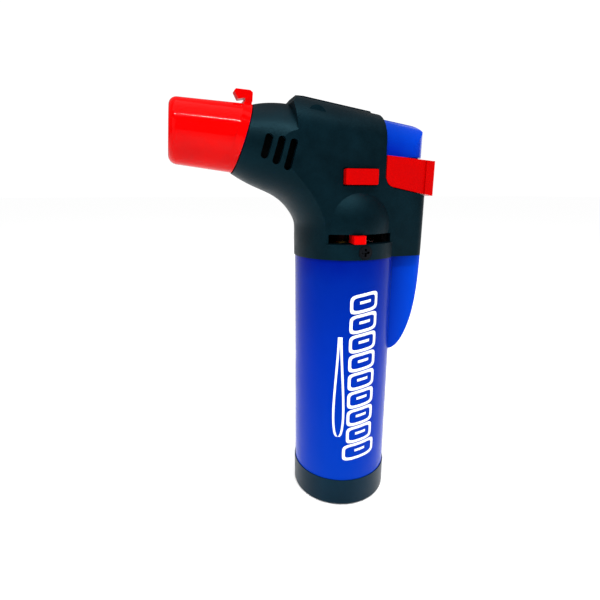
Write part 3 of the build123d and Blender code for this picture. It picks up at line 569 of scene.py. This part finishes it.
@dataclass
class TankPrint:
    """A plain outlined pattern printed up the tank's side: slanted blocks beside a long flame.

    Attributes:
        radius: the tank's outside radius in metres.
        middle_angle: angle of the pattern's middle about the tank's axis, in radians.
        low: height of the pattern's foot in metres.
        block_count: how many blocks stand in the column.
        pitch: height from one block to the next.
        block_half: half of a block's size up and across.
        slant: how far a block leans up for each metre across.
        line: width of the printed line.
        proud: how far the ink's face stands off the tank.
        column: the column's place across the pattern.
        square: how square the blocks are, 2 for an ellipse.
        foot_extra: how much wider to each side the lowest block is.
        bar_half: half of the height of the bar in each block.
        bar_ends: where that bar starts and ends, from the column's place.
        flame_ends: heights of the flame's foot and tip above the pattern's foot.
        flame_side: the flame's place across the pattern.
        flame_width: scale of the flame's half-width, which reaches about nine tenths of it.
        around: points round a block.
        across: points across a line.
        flame_steps: points up the flame.
        bar_steps: points up and along a bar.
        parts: points and faces of what is laid out so far.
    """

    radius: float = 17.2 * MM
    middle_angle: float = np.radians(-94.5)
    low: float = 19.5 * MM
    block_count: int = 9
    pitch: float = 6.8 * MM
    block_half: tuple[float, float] = (3.2 * MM, 4.9 * MM)
    slant: float = 0.16
    line: float = 1.0 * MM
    proud: float = 0.035 * MM
    column: float = 1.9 * MM
    square: float = 5.0
    foot_extra: float = 1.2 * MM
    bar_half: float = 0.45 * MM
    bar_ends: tuple[float, float] = (-1.6 * MM, 2.2 * MM)
    flame_ends: tuple[float, float] = (9.0 * MM, 46.0 * MM)
    flame_side: float = -5.9 * MM
    flame_width: float = 1.5 * MM
    around: int = 64
    across: int = 3
    flame_steps: int = 60
    bar_steps: tuple[int, int] = (4, 12)
    parts: list[tuple[np.ndarray, np.ndarray]] = field(default_factory=list)

    def on_tank(self, up: np.ndarray, side: np.ndarray) -> np.ndarray:
        """Wraps flat points on the tank: height stays, and sideways is arc length round the axis.

        Args:
            up: heights in metres.
            side: distances round the tank from the pattern's middle.

        Returns:
            Points in the row frame.
        """
        angle = self.middle_angle + side / self.radius
        reach = self.radius + self.proud
        return np.stack([reach * np.cos(angle), reach * np.sin(angle), up], axis=-1)

    def outline(self, centre: tuple[float, float], half: tuple[float, float]) -> None:
        """Adds a line round a leaning superellipse.

        A point at turn t is half-size times the signed power 2/square of (cos t, sin t), sheared by
        the slant; the line's other edge is the same curve with its half-size less the line's width.

        Args:
            centre: height and sideways place of the shape's middle.
            half: half-size up and across.
        """
        turn = np.linspace(0.0, 2 * np.pi, self.around, endpoint=False)[:, None]
        inset = np.linspace(0.0, self.line, self.across)[None, :]
        power = 2.0 / self.square
        cosine = np.sign(np.cos(turn)) * np.abs(np.cos(turn)) ** power
        sine = np.sign(np.sin(turn)) * np.abs(np.sin(turn)) ** power
        up = (half[0] - inset) * cosine
        side = (half[1] - inset) * sine
        points = self.on_tank(centre[0] + up + self.slant * side, centre[1] + side)
        faces = grid_faces(self.around, self.across, closed=True)
        self.parts.append((points.reshape(-1, 3), faces))

    def flame(self) -> None:
        """Adds a slender flame outline.

        Its half-width at share s of its height is the swell times sin(pi s^FLAME_FULLNESS) times
        (1 - s)^FLAME_POINT, so it is full low down and runs out to a point.
        """
        low, high = (self.low + end for end in self.flame_ends)
        share = np.linspace(0.0, 1.0, self.flame_steps)
        swell = np.sin(np.pi * share ** FLAME_FULLNESS) * (1.0 - share) ** FLAME_POINT
        edge = np.linspace(0.0, FLAME_LINE_SHARE * self.line, self.across)[None, :]
        faces = grid_faces(self.flame_steps, self.across)
        for hand in (-1.0, 1.0):
            side = self.flame_side + hand * (self.flame_width * swell[:, None] + edge)
            up = np.broadcast_to((low + share * (high - low))[:, None], side.shape)
            points = self.on_tank(up, side).reshape(-1, 3)
            self.parts.append((points, faces if hand < 0 else faces[:, ::-1]))

    def bar(self, height: float) -> None:
        """Adds the leaning solid bar of one block.

        It is a flat grid between two heights and two sideways places, sheared by the slant.

        Args:
            height: height of the bar's middle.
        """
        up, side = np.meshgrid(
            np.linspace(height - self.bar_half, height + self.bar_half, self.bar_steps[0]),
            np.linspace(*(self.column + end for end in self.bar_ends), self.bar_steps[1]),
            indexing="ij",
        )
        points = self.on_tank(up + self.slant * side, side)
        self.parts.append((points.reshape(-1, 3), grid_faces(*self.bar_steps)))

    def build(self) -> bpy.types.Object:
        """Lays out the pattern and makes it one printed piece.

        Returns:
            The finished object.
        """
        half_up, half_across = self.block_half
        for index in range(self.block_count):
            height = self.low + half_up + index * self.pitch
            extra = 0.0 if index else self.foot_extra
            self.outline((height, self.column), (half_up, half_across + extra))
            self.bar(height)
        self.flame()
        points, faces, count = [], [], 0
        for part_points, part_faces in self.parts:
            points.append(part_points)
            faces.append(part_faces + count)
            count += len(part_points)
        made = mesh_object("tank_print", np.concatenate(points), np.concatenate(faces))
        thicken = made.modifiers.new("ink", "SOLIDIFY")
        thicken.thickness = 2 * self.proud
        thicken.offset = -1.0
        made.data.materials.append(PRINT_INK.build())
        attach(made, "root")
        return made


@dataclass(frozen=True)
class VentShadeSheet:
    """A dark, gently bowed sheet inside each side of the neck: painted shade, so no light crosses
    the vents.

    Attributes:
        low: x and z of the sheet's lower front corner, in metres.
        high: x and z of its upper rear corner.
        reach: how far the sheet's middle stands from the middle plane.
        bow: how far its upper and lower edges lie nearer to the middle plane.
        thickness: the sheet's own.
        steps: points along the sheet and up it.
    """

    low: tuple[float, float] = (-32.0 * MM, 118.5 * MM)
    high: tuple[float, float] = (-20.0 * MM, 129.0 * MM)
    reach: float = 8.9 * MM
    bow: float = 0.8 * MM
    thickness: float = 0.3 * MM
    steps: tuple[int, int] = (9, 15)

    def build(self, side: float) -> bpy.types.Object:
        """Makes the sheet of one side.

        The sheet's distance from the middle plane is reach less bow times the square of the
        height's share from -1 at the lower edge to 1 at the upper one.

        Args:
            side: -1 for the left side and 1 for the right one.

        Returns:
            The finished object.
        """
        along, share = np.meshgrid(
            np.linspace(self.low[0], self.high[0], self.steps[0]),
            np.linspace(-1.0, 1.0, self.steps[1]),
            indexing="ij",
        )
        up = self.low[1] + (share + 1.0) / 2.0 * (self.high[1] - self.low[1])
        across = side * (self.reach - self.bow * share ** 2)
        points = np.stack([along, across, up], axis=-1).reshape(-1, 3)
        faces = grid_faces(*self.steps)
        if side < 0:
            made = mesh_object("vent_shade_sheet_left", points, faces)
        else:
            made = mesh_object("vent_shade_sheet_right", points, faces[:, ::-1])
        thicken = made.modifiers.new("sheet", "SOLIDIFY")
        thicken.thickness = self.thickness
        # near-black dull finish: painted shade behind the vents
        made.data.materials.append(VENT_SHADE_SHEET.build())
        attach(made, "root")
        return made


@dataclass(frozen=True)
class CoilSpring:
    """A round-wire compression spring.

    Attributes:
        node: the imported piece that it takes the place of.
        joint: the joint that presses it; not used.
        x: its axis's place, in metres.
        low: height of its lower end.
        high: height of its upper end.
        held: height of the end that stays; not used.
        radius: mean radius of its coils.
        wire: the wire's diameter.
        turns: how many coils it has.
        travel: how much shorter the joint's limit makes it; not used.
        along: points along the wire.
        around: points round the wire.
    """

    node: str
    joint: str
    x: float
    low: float
    high: float
    held: float
    radius: float
    wire: float
    turns: float
    travel: float
    along: int = 220
    around: int = 12

    def build(self) -> bpy.types.Object:
        """Makes the spring.

        At share s of its length the wire's centre is radius times (cos 2 pi turns s, sin 2 pi turns
        s), at a height that grows evenly with s. The wire's circle lies across that helix's
        tangent, and a flat disc closes each end.

        Returns:
            The finished object.
        """
        share = np.linspace(0.0, 1.0, self.along)
        turn = 2 * np.pi * self.turns * share
        rise = self.high - self.low - self.wire
        outwards = np.stack([np.cos(turn), np.sin(turn), np.zeros_like(turn)], axis=-1)
        centre = self.radius * outwards + np.array([self.x, 0.0, self.low + self.wire / 2])
        centre[:, 2] += rise * share
        pitch = rise / (2 * np.pi * self.turns)
        tangent = np.stack(
            [-self.radius * np.sin(turn), self.radius * np.cos(turn), np.full_like(turn, pitch)],
            axis=-1,
        )
        tangent /= np.linalg.norm(tangent, axis=-1, keepdims=True)
        across = np.cross(tangent, outwards)
        angle = np.linspace(0.0, 2 * np.pi, self.around, endpoint=False)[:, None, None]
        points = centre + self.wire / 2 * (np.cos(angle) * outwards + np.sin(angle) * across)
        numbers = np.arange(self.around) * self.along
        faces = grid_faces(self.around, self.along, closed=True).tolist()
        faces += [numbers[::-1].tolist(), (numbers + self.along - 1).tolist()]
        made = mesh_object(f"{self.node}_coil", points.reshape(-1, 3), faces)
        made.data.materials.append(SPRING_STEEL.build())
        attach(made, "root")
        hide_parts(self.node)
        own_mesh(made)
        return made


SPRINGS = (
    CoilSpring(
        "trigger_spring", "trigger_press",
        x=16.3 * MM, low=106.0 * MM, high=118.2 * MM, held=106.0 * MM,
        radius=3.2 * MM, wire=0.7 * MM, turns=7.0, travel=3.5 * MM,
    ),
    CoilSpring(
        "valve_spring", "trigger_press",
        x=0.0, low=106.35 * MM, high=112.0 * MM, held=112.0 * MM,
        radius=2.3 * MM, wire=0.5 * MM, turns=4.0, travel=2.05 * MM,
    ),
    CoilSpring(
        "filler_spring", "filler_lift",
        x=0.0, low=5.65 * MM, high=12.0 * MM, held=12.0 * MM,
        radius=1.5 * MM, wire=0.4 * MM, turns=5.0, travel=1.5 * MM,
    ),
)


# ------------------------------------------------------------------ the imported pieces
@dataclass
class PackedPieces:
    """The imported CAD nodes, each dressed in the finish of what it is made of.

    Attributes:
        made: the materials that are built so far, by their names.
    """

    made: dict[str, bpy.types.Material] = field(default_factory=dict)

    def dress(self) -> None:
        """Gives every node its finish."""
        for name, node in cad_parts.items():
            finish = NODE_FINISH[name]
            if finish.name not in self.made:
                self.made[finish.name] = finish.build()
            for slot in node.material_slots:
                slot.material = self.made[finish.name]
            if not node.material_slots:
                node.data.materials.append(self.made[finish.name])
            log.info("%s: %s", name, finish.name)


# ------------------------------------------------------------------ studio
@dataclass(frozen=True)
class Softbox:
    """An area light.

    Attributes:
        name: the light's name.
        place: where it hangs, in metres.
        target: the point it faces.
        size: width and height in metres.
        power: watts.
    """

    name: str
    place: tuple[float, float, float]
    target: tuple[float, float, float]
    size: tuple[float, float]
    power: float

    def build(self) -> bpy.types.Object:
        """Hangs the light.

        Returns:
            The light's object.
        """
        data = bpy.data.lights.new(self.name, "AREA")
        data.shape = "RECTANGLE"
        data.size, data.size_y = self.size
        data.energy = self.power
        light = bpy.data.objects.new(self.name, data)
        light.location = self.place
        aim = Vector(self.target) - Vector(self.place)
        light.rotation_mode = "QUATERNION"
        light.rotation_quaternion = aim.to_track_quat("-Z", "Y")
        bpy.context.scene.collection.objects.link(light)
        return light


@dataclass
class Studio:
    """A pale floor, soft light and the camera.

    Attributes:
        floor_half: half of the floor's side in metres.
        eye: the camera's place.
        gaze: the camera's direction.
        lens: focal length in millimetres on a 36 mm sensor.
        floor_steps: points along the floor's side.
        backdrop: strength of the room's white where the camera sees it.
        fill: strength of the room's even light.
        mirrored: strength of the room where a glossy surface mirrors it.
        softboxes: the lights.
    """

    floor_half: float = 12.0
    eye: tuple[float, float, float] = (-0.0566, -0.1325, 0.1116)
    gaze: tuple[float, float, float] = (0.2827, 0.9246, -0.2554)
    lens: float = 24.4
    floor_steps: int = 5
    backdrop: float = 1.05
    fill: float = 1.0
    mirrored: float = 0.18
    softboxes: tuple[Softbox, ...] = (
        Softbox("overhead", (-0.1, -0.1, 0.75), (0.0, 0.0, 0.08), (0.7, 0.7), 1.3),
        Softbox("left_front", (-0.6, -0.5, 0.35), (-0.02, 0.0, 0.09), (0.5, 0.5), 0.5),
        Softbox("right_rear", (0.55, 0.25, 0.35), (0.0, 0.0, 0.09), (0.4, 0.5), 0.8),
        Softbox("cap_strip", (-0.05, -0.22, 0.42), (-0.045, 0.0, 0.128), (0.30, 0.008), 1.3),
    )

    def floor(self) -> bpy.types.Object:
        """Makes the floor: a flat grid at height nought.

        Returns:
            The floor's object.
        """
        steps = np.linspace(-self.floor_half, self.floor_half, self.floor_steps)
        east, north = np.meshgrid(steps, steps, indexing="ij")
        points = np.stack([east, north, np.zeros_like(east)], axis=-1).reshape(-1, 3)
        faces = grid_faces(self.floor_steps, self.floor_steps)[:, ::-1]
        made = mesh_object("floor", points, faces, smooth=False)
        made.data.materials.append(FLOOR_BOARD.build())
        return made

    def sky(self) -> None:
        """Lights the room evenly: white behind the object, and dimmer where surfaces mirror it."""
        world = bpy.data.worlds.new("room")
        bpy.context.scene.world = world
        world.use_nodes = True
        tree = world.node_tree
        tree.nodes.clear()
        rays = add_node(tree, "ShaderNodeLightPath")
        white = linear("#ffffff")
        seen, fill, mirrored = (
            add_node(tree, "ShaderNodeBackground", inputs={"Color": white, "Strength": strength})
            for strength in (self.backdrop, self.fill, self.mirrored)
        )
        soft = add_node(
            tree, "ShaderNodeMixShader",
            inputs={0: rays.outputs["Is Glossy Ray"], 1: fill.outputs[0], 2: mirrored.outputs[0]},
        )
        mixed = add_node(
            tree, "ShaderNodeMixShader",
            inputs={0: rays.outputs["Is Camera Ray"], 1: soft.outputs[0], 2: seen.outputs[0]},
        )
        add_node(tree, "ShaderNodeOutputWorld", inputs={"Surface": mixed.outputs[0]})

    def camera(self) -> None:
        """Sets the camera up at the viewing place."""
        data = bpy.data.cameras.new("viewpoint")
        data.lens = self.lens
        data.clip_start, data.clip_end = 0.01, 20.0
        camera = bpy.data.objects.new("viewpoint", data)
        camera.location = self.eye
        camera.rotation_mode = "QUATERNION"
        camera.rotation_quaternion = Vector(self.gaze).to_track_quat("-Z", "Y")
        bpy.context.scene.collection.objects.link(camera)
        bpy.context.scene.camera = camera

    def build(self) -> None:
        """Builds the whole studio."""
        self.floor()
        self.sky()
        for softbox in self.softboxes:
            softbox.build()
        self.camera()
        bpy.context.scene.view_settings.view_transform = "Standard"


def main() -> None:
    """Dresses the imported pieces, adds the print, and sets up the studio."""
    logging.basicConfig(level=logging.INFO, format="%(name)s: %(message)s")
    PackedPieces().dress()
    log.info("print: %s", TankPrint().build().name)
    for spring in SPRINGS:
        log.info("spring: %s", spring.build().name)
    for side in (-1.0, 1.0):
        log.info("screen: %s", VentShadeSheet().build(side).name)
    Studio().build()


if __name__ == "__main__":
    main()
